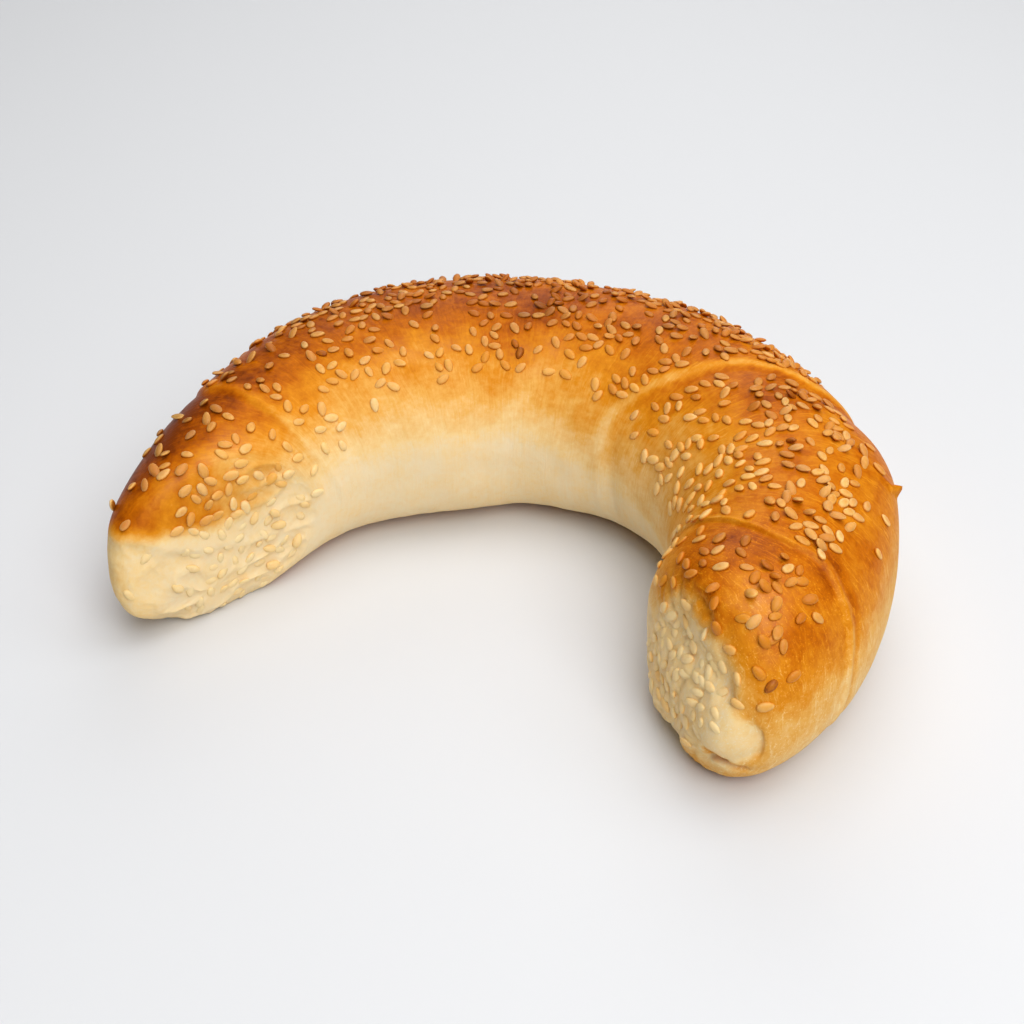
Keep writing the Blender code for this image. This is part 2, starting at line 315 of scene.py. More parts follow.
def skin(arc, angle, out=0.0, fine=False):
    """Point on the crust; fine adds what is too small for the solid."""
    half, low, top, slant = section(arc)
    c, s = math.cos(angle), math.sin(angle)
    waist = low + WAIST * (top - low)
    if s >= 0:
        z = waist + (top - waist) * s ** DOME
    else:
        foot = smooth(FOOT, station(arc))
        flat = (1 - min(abs(c), 1.0) ** foot) ** (1 / foot)
        z = waist - (waist - low) * flat
    across = half * c
    length = math.hypot(c / max(half, 1e-5), s / max(top - waist, 1e-5))
    out += patches(SWELLS, arc, degrees_round(angle))
    if fine:
        out += side_relief(arc, round(angle, 5), across, z)
    else:
        out += seam_relief(arc, angle)
    lift = out / max(length, 1e-9)
    across += lift * c / max(half, 1e-5)
    z += lift * s / max(top - waist, 1e-5)
    x, y, heading = on_line(arc)
    push = face_push if fine else end_relief
    along = slant * across + push(arc, across, z)
    return Vector((x - math.sin(heading) * across + math.cos(heading) * along,
                   y + math.cos(heading) * across + math.sin(heading) * along,
                   max(z - BASE_CUT, 0.0)))


# ---- what only the fine skin shows ---------------------------------------
# each seam's own look: fall past its edge, lift, sink, and its pale line's
# place, half-width and strength
SEAM_LOOKS = ((0.0020, 0.00026, 0.00045, 0.0003, 0.0012, 0.13),
              (0.0034, 0.00034, 0.00070, 0.0012, 0.0018, 0.27),
              (0.0008, 0.00018, 0.00042, 0.0001, 0.0006, 0.07))
SEAM_LIFT_REACH = 0.0050
SEAM_SINK_REACH = 0.006
SEAM_WANDER = 0.0006         # how far an edge strays from its line
SEAM_JITTER = 0.00022
SEAM_FAR = 0.03              # no relief is left further from its edge
SEAM_LINE_FAR = 0.02         # and no change of browning
# the right seam has a ridge past its edge and a groove before it
RIDGE = (0.0001, 0.0006)
RIDGE_HEIGHT = 0.00020
GROOVE = (-0.0014, 0.0006)
GROOVE_DEPTH = 0.00032
# unevenness of the dough: height and size
BROAD_UNEVEN = (0.00045, 0.018)
SMALL_UNEVEN = (0.00014, 0.006)
SLACK_FOLDS = (0.00020, 0.0055)
# the flap torn up from the outer side of the right leg
FLAP_ARC = 0.0816
FLAP_SLOPE = 0.0012          # how far its edge runs back below
FLAP_LOW = 0.00055
FLAP_HIGH = 0.0019
FLAP_PEAK = (31, 3.2)        # turn of its point, and reach
# the left end: mounds, and height or depth of each of its forms
LEFT_LOBE = (0.0155, 0.0085, 0.8, 0.0048)
LIP_HIGH = 0.0010
LIP_UNDERCUT = 0.0004
LEFT_LOBE_HIGH = 0.0009
NOTCH_DEEP = 0.0014
# its thin folds: height and size
LEFT_FOLDS = (0.0011, 0.0062)
LEFT_WRINKLES = (0.00028, 0.0031)
LEFT_DEPTH = 0.0003
# the right end: places across and up, then the height of each of its forms
FINE_LOBE = (0.0132, 0.0150)
CREASE = (0.0108, 0.0148)
CREASE_REACH = (0.0066, 0.0088)
CREASE_MEAN_REACH = 0.0072
POCKET_WIDE = (0.0124, 0.0030)
POCKET_ARCH = (0.0074, 0.0024, 0.0116, 0.0032)
POCKET_HIGH = 0.0013
FACE_SWELL = (-0.004, 0.016, 1.0, 0.008)
RIGHT_FORMS = (("lobe", 0.0020), ("valley", -0.0016), ("crease", -0.0021),
               ("pocket", -0.0036), ("chin", -0.0010), ("ear", 0.0015),
               ("under", -0.0014), ("swell", 0.0006))
RIGHT_FOLDS = (0.0009, 0.0060)
RIGHT_WRINKLES = (0.00045, 0.0028)
RIGHT_DEPTH = 0.0004


@functools.lru_cache(maxsize=None)
def seams_round(angle):
    """Each seam at an angle: strength, tip side, torn edge and its look."""
    turn = degrees_round(angle)
    found = []
    for (seam, tip, _, reach), look in zip(SEAMS, SEAM_LOOKS):
        wander = noise.noise(Vector((angle * 2.3, seam[0] * 900, 0.0)))
        jitter = noise.noise(Vector((angle * 9.0, seam[0] * 900, 4.0)))
        found.append((band(turn, *reach), tip, around(seam, angle)
                      + SEAM_WANDER * wander + SEAM_JITTER * jitter, look))
    return found


def uneven(place, size, shift=(0, 0, 0)):
    """Smooth noise of a given size, from -1 to 1."""
    return noise.noise(place / size + Vector(shift))


def crumple(place, size):
    """Sharp folds between soft swells, from -0.4 in a fold to 0.6."""
    return 0.6 - (1 - abs(uneven(place, size))) ** 4


def pucker(place, size):
    """Thin raised folds, from -0.3 between them to 0.7 on them."""
    return (1 - abs(uneven(place, size))) ** 5 - 0.3


def torn_flap(arc, turn):
    """Height of the flap torn up from the right leg."""
    x = arc - (FLAP_ARC - FLAP_SLOPE * fade(turn, 29, 36))
    if not (-0.004 < x < 0.001 and 22 < turn < 56):
        return 0.0
    high = FLAP_LOW * band(turn, 30, 36, 38, 52) + FLAP_HIGH * bell(turn, *FLAP_PEAK)
    return high * ease(x, -0.0022, -0.0002) ** 2 * fade(x, 0.0, 0.0005)


def side_relief(arc, angle, across, z):
    """Outward relief of the fine skin: seams and the dough's own swells."""
    place = Vector((arc, across, z))
    turn = degrees_round(angle)
    relief = (BROAD_UNEVEN[0] * uneven(place, BROAD_UNEVEN[1])
              + SMALL_UNEVEN[0] * uneven(place, SMALL_UNEVEN[1], (7, 3, 1)))
    outer = fade(turn, 55, 85)
    # on the inner side the seams grow weaker, and the first two also wider
    calm = ease(turn, 108, 142)
    for share, tip, edge, look in seams_round(angle):
        x = tip * (arc - edge)
        if share <= 0 or abs(x) > SEAM_FAR:
            continue
        step, lift, sink = look[:3]
        last = look is SEAM_LOOKS[2]
        relief += share * layer(
            x, step + 0.0035 * calm * (not last), lift * (1 - 0.65 * calm),
            sink * (1 - 0.3 * calm), SEAM_LIFT_REACH, SEAM_SINK_REACH)
        if last:
            relief += share * (RIDGE_HEIGHT * bell(x, *RIDGE)
                               - outer * GROOVE_DEPTH * bell(x, *GROOVE))
    relief += torn_flap(arc, turn)
    slack = fade(depth_in(arc), 0.004, 0.012)
    if arc < 0:
        slack *= fade(z, 0.018, 0.024)
    return relief + slack * SLACK_FOLDS[0] * crumple(place, SLACK_FOLDS[1])


def lip_line(across):
    """Height of the edge of the dough folded over the left end."""
    return 0.0173 + 0.0074 * ease(across, -0.003, 0.0145)


def left_face(across, z, place):
    """Relief of the left end: folded lip, slack dough, a lobe and a notch."""
    there = ease(across, -0.008, -0.001)
    past = z - lip_line(across)
    over = ease(past, -0.0012, 0.0010)
    lip = there * (LIP_HIGH * over * math.exp(-max(past, 0) / 0.0050)
                   - LIP_UNDERCUT * bell(past, -0.0018, 0.0014))
    lobe = mound(across, z, *LEFT_LOBE)
    notch = bell(across, 0.0085, 0.0032) * bell(z, 0.0035, 0.0030)
    folds = Vector((place.x, place.y * 0.8 + place.z * 0.5, place.z - place.y * 0.35))
    wrinkles = folds * 1.3 + Vector((1, 2, 3))
    rough = (1 - over * there) * (1 - lobe) \
        * (1 - 0.5 * ease(across, 0.006, 0.013)) * (
            LEFT_FOLDS[0] * pucker(folds, LEFT_FOLDS[1])
            + LEFT_WRINKLES[0] * pucker(wrinkles, LEFT_WRINKLES[1]))
    return lip + LEFT_LOBE_HIGH * lobe - NOTCH_DEEP * notch + rough - LEFT_DEPTH


def crease_line(across, z):
    """Distance from the curled crease, and how far it has begun there."""
    reach = math.hypot((across - CREASE[0]) / CREASE_REACH[0],
                       (z - CREASE[1]) / CREASE_REACH[1])
    begun = ease(across + (z - CREASE[1]) * 0.35, 0.0118, 0.0134)
    return (reach - 1) * CREASE_MEAN_REACH, begun


def pocket_at(across, z):
    """The arched hollow under the lobe of the right end."""
    low, rise, middle, reach = POCKET_ARCH
    arch = low + rise * bell(across, middle, reach)
    return math.exp(-((across - POCKET_WIDE[0]) / POCKET_WIDE[1]) ** 4
                    - ((z - arch) / POCKET_HIGH) ** 4)


def right_face(across, z, place):
    """Relief of the right end: rim valley, curled lobe, pocket and chin."""
    dip = 0.0266 - 25 * (across - 0.0015) ** 2
    valley = bell(z, dip, 0.0030) * band(across, -0.014, -0.006, 0.0105, 0.0135)
    # the lobe runs out softly towards the middle of the face and upwards
    aside, above = across - FINE_LOBE[0], z - FINE_LOBE[1]
    rise = math.hypot(min(aside, 0.0) / 0.0085 + max(aside, 0.0) / 0.0046,
                      min(above, 0.0) / 0.0044 + max(above, 0.0) / 0.0085)
    lobe = fade(rise, 0.0, 1.0) ** 0.6
    away, begun = crease_line(across, z)
    chin = chin_at(across, z)
    forms = {
        "lobe": lobe, "valley": valley, "chin": chin,
        "crease": bell(away, 0, 0.0008) * begun * ease(z, 0.0095, 0.0130)
        * (1 - 0.8 * ease(z, 0.0165, 0.0215)),
        "pocket": pocket_at(across, z), "ear": mound(across, z, *EAR),
        "under": bell(across, -0.0028, 0.0030)
        * fade(z, 0.0035, 0.0070),
        "swell": mound(across, z, *FACE_SWELL)}
    smooth_there = max(lobe ** 0.5, chin, ease(away, -0.0004, 0.0006) * begun)
    wrinkles = place + Vector((5, 2, 3))
    rough = (1 - min(smooth_there, 1)) * (
        RIGHT_FOLDS[0] * crumple(place, RIGHT_FOLDS[1])
        + RIGHT_WRINKLES[0] * crumple(wrinkles, RIGHT_WRINKLES[1]))
    return sum(high * forms[name] for name, high in RIGHT_FORMS) + rough - RIGHT_DEPTH


def face_push(arc, across, z):
    """Shift along the centre line that shapes the two end faces."""
    place = Vector((arc * 0.5, across, z))
    if arc < 0:
        near = fade(depth_in(arc), 0.0035, 0.0095)
        return -near * left_face(across, z, place) if near > 0 else 0.0
    near = fade(depth_in(arc), 0.0042, 0.0085)
    return near * right_face(across, z, place) if near > 0 else 0.0


# browning: the turns on the inner side where it starts and is full, its level
# there, and its curve
BAKE_START = (176, 171, 175, 173, 184, 188, 168)
BAKE_FULL = (72, 84, 92, 104, 96, 90, 104)
BAKE_TOP = (0.95, 0.87, 0.88, 0.90, 0.75, 0.71, 0.77)
BAKE_CURVE = (1.0, 1.0, 1.0, 1.0, 0.62, 0.55, 0.70)
BAKE_OUTSIDE = 0.26          # low on the outer side
BAKE_UNDERSIDE = 0.50
BAKE_CHEEK = 0.40            # beside the pocket
BAKE_SLACK = 0.13            # on the slack dough of the right end
# painted shade deep in the hollow under the lobe of the right end
POCKET_PAINTED_SHADE = 0.74
BAKE_MOST = 1.1
# its unevenness: amount, size and shift
BAKE_UNEVEN = ((0.11, 0.016, (0, 0, 0)), (0.09, 0.0055, (3, 3, 3)), (0.06, 0.0021, (9, 5, 1)))
# darker and paler places: arc mm, turn, their reach in each, and amount; the paler ones that
# lie under the shiny patches of the glaze are painted highlight
SCORCH_AND_PAINTED_HIGHLIGHT = ((-84, 50, 12, 22, 0.10), (4, 66, 26, 16, -0.12),
            (115, 98, 5, 34, 0.10), (62, 84, 12, 14, 0.10),
            (12, 96, 12, 14, -0.09), (-32, 122, 12, 10, -0.08),
            (4, 126, 7, 9, -0.07), (121, 62, 6, 18, -0.10),
            (-94, 90, 5, 18, -0.07), (72, 128, 8, 16, -0.05),
            (-15, 93, 7, 10, -0.08), (-96, 62, 4, 14, -0.08))


def pale_end(arc, across, z):
    """Share of unbrowned dough at the folded ends."""
    depth = depth_in(arc)
    flat = Vector((across, z, 0))
    if arc < 0:
        border = 0.0212 + 0.0037 * ease(across, -0.002, 0.012) \
            + 0.0030 * ease(-across, 0.009, 0.015)
        border += 0.0012 * uneven(flat, 0.006)
        low = fade(z, border - 0.0018, border + 0.0030)
        rim = fade(depth, 0.0, 0.0045)
        inner = ease(-across, 0.004, 0.015)
        return max(low * fade(depth, 0.0050, 0.0090), 0.45 * rim * inner)
    edge = 0.0036 - 0.0020 * ease(across, 0.0125, 0.0165) + 0.0010 * uneven(flat, 0.005)
    lobe = math.hypot((across - 0.0128) / 0.0052, (z - 0.0146) / 0.0062)
    return max(fade(depth, edge - 0.0016, edge + 0.0018),
               fade(lobe, 0.85, 1.15) * fade(depth, 0.0045, 0.0070))


def seam_bake_and_painted_shade(arc, angle, level):
    """The browning with each seam's pale line and darker edge added, and painted shade in the
    right seam's groove.
    """
    turn = degrees_round(angle)
    for share, tip, edge, look in seams_round(round(angle, 5)):
        x = tip * (arc - edge)
        if share <= 0 or abs(x) > SEAM_LINE_FAR:
            continue
        middle, half, lighter = look[3:]
        if look is SEAM_LOOKS[1]:
            wide = 1 - 0.45 * ease(-turn, -130, -80)
            middle, half = middle * wide, half * wide
            lighter *= 1 - 0.35 * ease(turn, 118, 140)
        reach = half * (1.7 if x < middle else 0.85)
        level -= share * lighter * ease(level, 0.1, 0.5) * math.exp(
            -(abs(x - middle) / reach) ** 2.5)
        # painted shade in the right seam's groove on the outer side
        if look is SEAM_LOOKS[2]:
            level += share * 0.13 * fade(turn, 50, 85) * bell(x, -0.0016, 0.0007)
        level += share * 0.06 * ease(x, middle + half, middle + half * 2) \
            * math.exp(-max(x - 0.002, 0) / 0.004) * ease(level, 0.2, 0.5)
    return level


def bake_and_painted_light(arc, angle, point, across):
    """How far the crust has browned, 0 raw cream to 1 dark brown, with some painted highlight
    and painted shade added.
    """
    turn = degrees_round(angle)
    mm = arc * 1000
    start, full, top, curve = (
        smooth(row, station(arc))
        for row in (BAKE_START, BAKE_FULL, BAKE_TOP, BAKE_CURVE))
    pale = 0.03 + 0.04 * ease(mm, -70, 30)
    climb = min(max((start - turn) / (start - full), 0.0), 1.0)
    level = pale + (top - pale) * climb ** curve
    # it reaches further down on the inner side of the right tip
    level += 0.14 * bell(mm, 117, 9) * bell(turn, 132, 20)
    if mm < 0:
        near = fade(depth_in(arc), 0.0015, 0.0135)
        level *= 1 - 0.26 * near * ease(turn, 18, 64)
    outer = ease(turn, -14 - 12 * (mm < 0), 46 - 22 * fade(mm, -60, 20))
    level = min(level, BAKE_OUTSIDE + (top - BAKE_OUTSIDE) * outer)
    under = max(ease(-turn, 34, 64), ease(turn, 214, 238))
    level += (BAKE_UNDERSIDE - level) * under
    # darker and paler patches, those under the glaze's shiny patches being painted highlight
    level += patches(SCORCH_AND_PAINTED_HIGHLIGHT, mm, turn)
    level = seam_bake_and_painted_shade(arc, angle, level)
    rough = 0.22 + 0.16 * ease(level, 0.05, 0.12) + 0.62 * ease(level, 0.14, 0.5)
    level += rough * sum(amount * uneven(point, size, shift)
                         for amount, size, shift in BAKE_UNEVEN)
    if mm > 0:
        cheek = ease(across, 0.006, 0.014) * fade(point.z, 0.024, 0.034) \
            * fade(depth_in(arc), 0.0030, 0.0110)
        level += (BAKE_CHEEK - level) * 0.85 * cheek
    face = pale_end(arc, across, point.z)
    slack = BAKE_SLACK if mm > 0 else 0.07 + 0.10 * ease(across, 0.006, 0.016)
    level = level * (1 - face) + slack * face
    if mm > 0:
        # painted shade in the hollow under the lobe, and browner along the face's low edge
        level += face * (POCKET_PAINTED_SHADE * pocket_at(across, point.z)
                         + 0.22 * ease(across, -0.002, 0.004)
                         * fade(point.z, 0.0030, 0.0075))
    return min(max(level, 0.0), BAKE_MOST)


# shiny patches of the glaze: arc mm, turn, their reach in each, and amount
GLAZED = ((-32, 122, 14, 14, 0.6), (4, 128, 8, 12, 0.6),
          (-93, 96, 7, 26, 0.6), (119, 66, 8, 26, 0.6),
          (72, 128, 10, 20, 0.6))


def glaze(arc, angle, level, point):
    """How shiny the browned crust is, from 0 to 1."""
    broken = 0.5 + 0.9 * uneven(point, 0.0042)
    shiny = patches(GLAZED, arc * 1000, degrees_round(angle))
    browned = min(0.03 + shiny * max(broken, 0.0), 1.0) * ease(level, 0.10, 0.35)
    moist = fade(depth_in(arc), 0.004, 0.009) * fade(level, 0.08, 0.25)
    return max(browned, 0.75 * moist * max(broken, 0.2))


# ---- meshes --------------------------------------------------------------
# the mesh's rows run along the seams, at these distances from each
ROW_MARKS = ((SEAM_LEFT, (-0.0040, -0.0018, 0.0004, 0.0070)),
             (SEAM_MIDDLE, (-0.0060, -0.0004, 0.0024, 0.0090)),
             (SEAM_RIGHT, (-0.0060, -0.0004, 0.0012, 0.0030)))


def tip_row(share, power):
    """A row's distance from the tip as a share; they crowd towards it."""
    return 1 - math.sin(share * math.pi / 2) ** (2 / power)


def row_plan(counts):
    """The mesh's rows, each the arc position it takes at every angle."""
    marks = [lambda a, seam=seam, off=off: around(seam, round(a, 5)) + off
             for seam, distances in ROW_MARKS for off in distances]
    left, right = marks[0], marks[-1]
    first, last = counts[0], counts[-1]
    rows = [(lambda a, f=1 - i / first: -ARM_LEFT
             + (left(a) + ARM_LEFT) * tip_row(f, CAP_POWER[0]))
            for i in range(first)]
    for start, end, count in zip(marks, marks[1:], counts[1:-1]):
        rows += [(lambda a, f=i / count, p=start, q=end:
                  p(a) + (q(a) - p(a)) * f) for i in range(count)]
    rows += [(lambda a, f=i / last: ARM_RIGHT
              - (ARM_RIGHT - right(a)) * tip_row(f, CAP_POWER[1]))
             for i in range(last + 1)]
    return rows


# the large seeds: the turn where they end on the inner side, and how thickly
# they are sown, at even stations over 115 mm to each side of an arc of 15 mm
FIRST_INNER = (172, 168, 146, 136, 142, 152, 172, 178, 178)
FIRST_THICK = (0.60, 0.55, 0.62, 0.85, 0.90, 1.0, 1.0, 0.5, 0.45)


def seed_share(arc, angle):
    """How thickly the large seeds are sown, from 0 to 1."""
    turn = degrees_round(angle)
    t = min(max((arc * 1000 + 100) / 115 - 1, -1), 1)
    inner = smooth(FIRST_INNER, t)
    share = smooth(FIRST_THICK, t) * ease(turn, 18, 48) * fade(turn, inner - 12, inner)
    for seam, tip, step, _ in SEAMS:
        x = tip * (arc - around(seam, angle))
        share *= 1 - band(x, -0.0012, 0.0, step + 0.002, step + 0.0045)
    if depth_in(arc) < 0.003:
        share = 0.55 if -20 < turn < 200 else 0.0
    return share


# the small seeds: the turns where they end on the inner and the outer side,
# how many lie on a square centimetre, and on one of the two end faces
SEEDS_INNER = (178, 164, 146, 138, 138, 150, 168, 172, 160)
SEEDS_OUTER = (50, 36, 26, 22, 22, 34, 48, 52, 42)
SEEDS_PER_CM2 = (4.6, 3.6, 4.4, 5.0, 5.4, 5.2, 7.0, 5.8, 4.2)
SEEDS_LEFT_FACE = 6.5
SEEDS_RIGHT_FACE = 11.5
BARE_LOBE = (0.0135, 0.0140, 1.0, 0.0070)
# how much of the hull's own colour shows, not the crust's through it
SEEDS_OPAQUE = (0.60, 0.56, 0.46, 0.34, 0.32, 0.38, 0.52, 0.70, 0.42)


def seed_density(arc, angle):
    """Small seeds on a square centimetre of the crust."""
    turn, t = degrees_round(angle), station(arc)
    inner, outer = smooth(SEEDS_INNER, t), smooth(SEEDS_OUTER, t)
    number = smooth(SEEDS_PER_CM2, t) * ease(turn, outer - 8, outer + 14) \
        * fade(turn, inner - 10, inner + 4)
    if arc > 0 and turn > 40:
        number *= 1 - 0.75 * bell(depth_in(arc), 0.0048, 0.0014)
    for _, tip, edge, look in seams_round(round(angle, 5)):
        bare = look[0] + 0.0016
        number *= 1 - band(tip * (arc - edge), -0.0014, -0.0004, bare, bare + 0.0018)
    # they lie in loose drifts, and closest on the crest of the back
    drift = noise.noise(Vector((arc / 0.0075, turn / 19.0, 0.0)))
    number *= 0.40 + 1.25 * ease(drift, -0.45, 0.45)
    number *= 1 + 0.5 * bell(turn, 74, 20) * bell(arc, 0.0, 0.075)
    if arc < 0 and depth_in(arc) < 0.0050:
        return SEEDS_LEFT_FACE * fade(across_at(arc, angle), 0.001, 0.009)
    if arc > 0 and depth_in(arc) < 0.0042:
        z = skin(arc, angle).z
        lobe = mound(across_at(arc, angle), z, *BARE_LOBE)
        return SEEDS_RIGHT_FACE * (1 - lobe) * ease(z, 0.007, 0.010) \
            * (1 - 0.75 * ease(depth_in(arc), 0.0022, 0.0036))
    return number


# arc mm and turn of the seeds that have scorched
SCORCHED_SEEDS = ((114, 89), (115, 78), (79, 89), (-24, 117), (124, 28),
                  (63, 82), (2, 80), (8, 80), (-1, 96), (4, 93), (-5, 122),
                  (-3, 128), (13, 76), (-8, 84))
# arc mm and turn of the seeds that lie apart on the right tip
TIP_SEEDS = ((117, 66), (119, 60), (121, 72), (114, 52), (117, 48), (120, 56),
             (121, 49), (121, 42), (123, 49), (123, 60), (124, 65), (125, 37),
             (121, 27), (124, 28), (125, 19), (118, 84), (121, 95))
# arc mm and turn of the seed that sticks out at the left corner
CORNER_SEED = (-92, 30)
CORNER_TOAST = 0.16
# height of a seed's middle, more where it stands up, and less on the slack
# dough of the left and the right end
SEED_LIFT = 0.00010
SEED_STANDS = 0.00045
SEED_SUNK = (0.00028, 0.00025)
RARE_SCORCH = 0.004          # share of the others that have scorched too
LEAST_SHOWN = 0.12


def scorched_seed(arc, angle):
    """Whether a seed lies where one has scorched."""
    turn = degrees_round(angle)
    return any(abs(arc * 1000 - at) < 1.5 and abs(turn - facing) < 4
               for at, facing in SCORCHED_SEEDS)


def cells_of(thickness):
    """The sowing grid's cells with a running total of seeds wanted."""
    rows, columns = row_plan(SOW_ROWS), SOW_COLUMNS
    cells, total = [], 0.0
    for r in range(len(rows) - 1):
        for c in range(columns):
            a = 2 * math.pi * (c + 0.5) / columns
            da = math.pi / columns
            arc0, arc1 = rows[r](a), rows[r + 1](a)
            middle = (arc0 + arc1) / 2
            area = ((skin(arc1, a) - skin(arc0, a)).length
                    * (skin(middle, a + da) - skin(middle, a - da)).length)
            total += area * thickness(middle, a)
            cells.append((total, r, c))
    return rows, cells


def sow(count, draw, places, thickness, room):
    """Adds seed places, spread by area and by how thickly they are sown."""
    rows, cells = cells_of(thickness)
    wanted = len(places) + (count or round(cells[-1][0] * 1e4))
    for _ in range(wanted * 30):
        if len(places) == wanted:
            break
        pick = draw.random() * cells[-1][0]
        _, r, c = cells[bisect.bisect_left(cells, (pick,))]
        angle = 2 * math.pi * (c + draw.random()) / SOW_COLUMNS
        f = draw.random()
        arc = rows[r](angle) * (1 - f) + rows[r + 1](angle) * f
        share = thickness(arc, angle)
        if share <= 0.05:
            continue
        point = skin(arc, angle)
        apart = room(share)
        if all((point - p[0]).length > apart for p in places):
            places.append((point, arc, angle, draw.random(), draw.random(), draw.random()))
    return places


def skin_frame(arc, angle):
    """The fine skin's outward direction, and the one along the roll."""
    da, ds = 0.03, 0.0006
    arc = min(max(arc, -ARM_LEFT + ds), ARM_RIGHT - ds)
    along = skin(arc + ds, angle, 0, True) - skin(arc - ds, angle, 0, True)
    round_ = skin(arc, angle + da, 0, True) - skin(arc, angle - da, 0, True)
    normal = along.cross(round_).normalized()
    if normal.dot(skin(arc, angle, 0.001) - skin(arc, angle)) < 0:
        normal.negate()
    return normal, along.normalized()


def seed_lie(place, point, raised, slack):
    """The matrix that lays one seed on the crust."""
    _, arc, angle, spin, size, tilt = place
    normal, along = skin_frame(arc, angle)
    side = normal.cross(along).normalized()
    along = side.cross(normal)
    turn = Matrix((along, side, normal)).transposed().to_4x4()
    scale = (0.86 + 0.26 * size) * (1 - 0.08 * bell(arc, 0, 0.055))
    height = SEED_LIFT + SEED_STANDS * raised - SEED_SUNK[arc > 0] * slack
    return (Matrix.Translation(point + normal * height) @ turn
            @ Matrix.Rotation(spin * 2 * math.pi, 4, "Z")
            @ Matrix.Rotation((tilt - 0.5) * (0.3 + 1.1 * raised), 4, "Y")
            @ Matrix.Scale(scale, 4))


def seed_tones(arc, angle, crust, slack, own):
    """A seed's toasting, and how much of its own colour shows."""
    shown = smooth(SEEDS_OPAQUE, station(arc)) \
        + 0.25 * fade(crust, 0.2, 0.5) + 0.50 * (own.random() - 0.5)
    # on the right tip most of them have turned amber
    amber = ease(arc, 0.104, 0.111) * ease(crust, 0.42, 0.60) * (own.random() < 0.85)
    shown -= 0.22 * amber
    level = (0.04 + 0.34 * min(crust, 0.8) * (1 - 0.8 * slack)
             + 0.16 * (own.random() - 0.5) + 0.16 * amber)
    level = min(level, 0.46 - 0.38 * min(slack * 2, 1), 0.05 + 0.8 * crust)
    if own.random() < RARE_SCORCH and slack < 0.1 or scorched_seed(arc, angle):
        level, shown = 0.70 + 0.15 * own.random(), 1.0
    return level, min(max(shown, LEAST_SHOWN), 1.0)


def repeated(count, layers):
    """A mesh of equal seeds, long in z, and how many vertices one has."""
    mesh = bmesh.new()
    bmesh.ops.create_uvsphere(mesh, u_segments=10, v_segments=6, radius=0.5)
    for name in layers:
        mesh.verts.layers.float.new(name)
    seed = bpy.data.meshes.new("one_seed")
    mesh.to_mesh(seed)
    mesh.free()
    one = len(seed.vertices)
    mesh = bmesh.new()
    for _ in range(count):
        mesh.from_mesh(seed, face_normals=False, vertex_normals=False)
    bpy.data.meshes.remove(seed)
    mesh.verts.ensure_lookup_table()
    return mesh, one


def put_in_scene(name, data, place=(0, 0, 0), turn=(0, 0, 0)):
    thing = bpy.data.objects.new(name, data)
    thing.location = place
    thing.rotation_euler = turn
    bpy.context.scene.collection.objects.link(thing)
    return thing


def new_piece(name, mesh, material):
    data = bpy.data.meshes.new(name)
    mesh.to_mesh(data)
    mesh.free()
    data.materials.append(material)
    data.shade_smooth()
    return put_in_scene(name, data)


# ---- materials -----------------------------------------------------------
class Nodes:
    """Short hand for laying out a material's or a group's nodes."""

    def __init__(self, tree):
        self.tree = tree

    def put(self, socket, value):
        if isinstance(value, bpy.types.NodeSocket):
            self.tree.links.new(value, socket)
        else:
            socket.default_value = value

    def fill(self, node, inputs):
        for key, value in inputs.items():
            self.put(node.inputs[key], value)

    def add(self, kind, inputs=None, **settings):
        node = self.tree.nodes.new(kind)
        for key, value in settings.items():
            setattr(node, key, value)
        self.fill(node, inputs or {})
        return node

    def group(self, tree, inputs):
        return self.add("ShaderNodeGroup", inputs, node_tree=tree).outputs

    def maths(self, operation, a, b, clamp=False):
        return self.add("ShaderNodeMath", {0: a, 1: b}, operation=operation,
                        use_clamp=clamp).outputs[0]

    def times(self, a, b):
        return self.maths("MULTIPLY", a, b)

    def total(self, first, *others, clamp=False):
        for other in others:
            first = self.maths("ADD", first, other, clamp and other is others[-1])
        return first

    def remap(self, value, low, high, to_low=0.0, to_high=1.0):
        return self.add("ShaderNodeMapRange",
                        {"Value": value, "From Min": low, "From Max": high,
                         "To Min": to_low,
                         "To Max": to_high}).outputs["Result"]

    def spread(self, value, most):
        """A noise's usual range, from 0.3 to 0.7, spread to both sides."""
        return self.remap(value, 0.3, 0.7, -most, most)

    def attribute(self, name):
        return self.add("ShaderNodeAttribute", attribute_name=name).outputs["Fac"]

    def texture(self, place, scale, detail, roughness):
        return self.add("ShaderNodeTexNoise",
                        {"Vector": place, "Scale": scale, "Detail": detail,
                         "Roughness": roughness}).outputs["Fac"]

    def ramp(self, value, stops):
        node = self.add("ShaderNodeValToRGB", {"Fac": value})
        elements = node.color_ramp.elements
        while len(elements) < len(stops):
            elements.new(0.5)
        for element, (at, colour) in zip(elements, stops):
            element.position = at
            element.color = (*colour, 1.0)
        return node.outputs["Color"]

    def mix(self, factor, a, b):
        return self.add("ShaderNodeMix", {0: factor, 6: a, 7: b}, data_type="RGBA").outputs[2]

    def bump(self, height, strength, distance):
        return self.add("ShaderNodeBump",
                        {"Height": height, "Strength": strength,
                         "Distance": distance}).outputs["Normal"]


def new_group(name, inputs, outputs, kind):
    """A node group, its input sockets and its nodes."""
    group = bpy.data.node_groups.new(name, "ShaderNodeTree")
    for label in inputs:
        group.interface.new_socket(label, in_out="INPUT", socket_type="NodeSocketFloat")
    for label in outputs:
        group.interface.new_socket(label, in_out="OUTPUT", socket_type=kind)
    nodes = Nodes(group)
    return group, nodes.add("NodeGroupInput").outputs, nodes


def grain_group():
    """Fine uneven grain shared by the crust and the seeds."""
    group, start, nodes = new_group("baked_grain", ("Scale",),
                                    ("Fine", "Coarse"), "NodeSocketFloat")
    place = nodes.add("ShaderNodeTexCoord").outputs["Object"]
    coarser = nodes.times(start["Scale"], 0.22)
    nodes.add("NodeGroupOutput",
              {"Fine": nodes.texture(place, start["Scale"], 5.0, 0.6),
               "Coarse": nodes.texture(place, coarser, 4.0, 0.55)})
    return group


